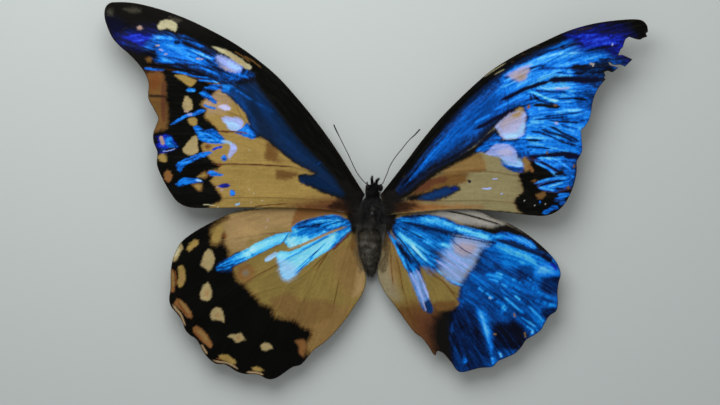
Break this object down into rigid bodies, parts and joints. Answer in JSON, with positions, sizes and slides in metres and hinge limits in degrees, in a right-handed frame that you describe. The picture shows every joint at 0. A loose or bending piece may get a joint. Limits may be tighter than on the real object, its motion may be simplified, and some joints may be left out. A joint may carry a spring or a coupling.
{
  "type": "spread butterfly specimen",
  "caption": "Dried butterfly with spread wings in blue, tan and black, a furred dark body, clubbed antennae and a pin through the thorax.",
  "frame": {"origin": "the flat under the thorax, where the specimen rests", "axes": "+X the specimen's right, +Y its head end, +Z its back, upwards"},
  "size_m": [0.1273, 0.0886, 0.0095],
  "materials": {
    "left_wing_scales": "matt scales with blue patches",
    "right_wing_scales": "satin, iridescent blue",
    "dark_fur": "matt fur",
    "brown_fur": "matt fur",
    "black_horn": "satin",
    "eye": "gloss",
    "pin_steel": "dark satin"
  },
  "bodies": {
    "root": {"thorax": "dark_fur", "abdomen": "brown_fur", "head": "dark_fur", "left_eye": "eye", "right_eye": "eye", "left_palp": "dark_fur", "right_palp": "dark_fur", "tongue": "black_horn", "left_antenna": "black_horn", "right_antenna": "black_horn", "left_forewing": "left_wing_scales", "right_forewing": "right_wing_scales", "left_hindwing": "left_wing_scales", "right_hindwing": "right_wing_scales", "left_fore_leg": "black_horn", "right_fore_leg": "black_horn", "left_middle_leg": "black_horn", "right_middle_leg": "black_horn", "left_hind_leg": "black_horn", "right_hind_leg": "black_horn", "pin": "pin_steel"}
  },
  "joints": []
}
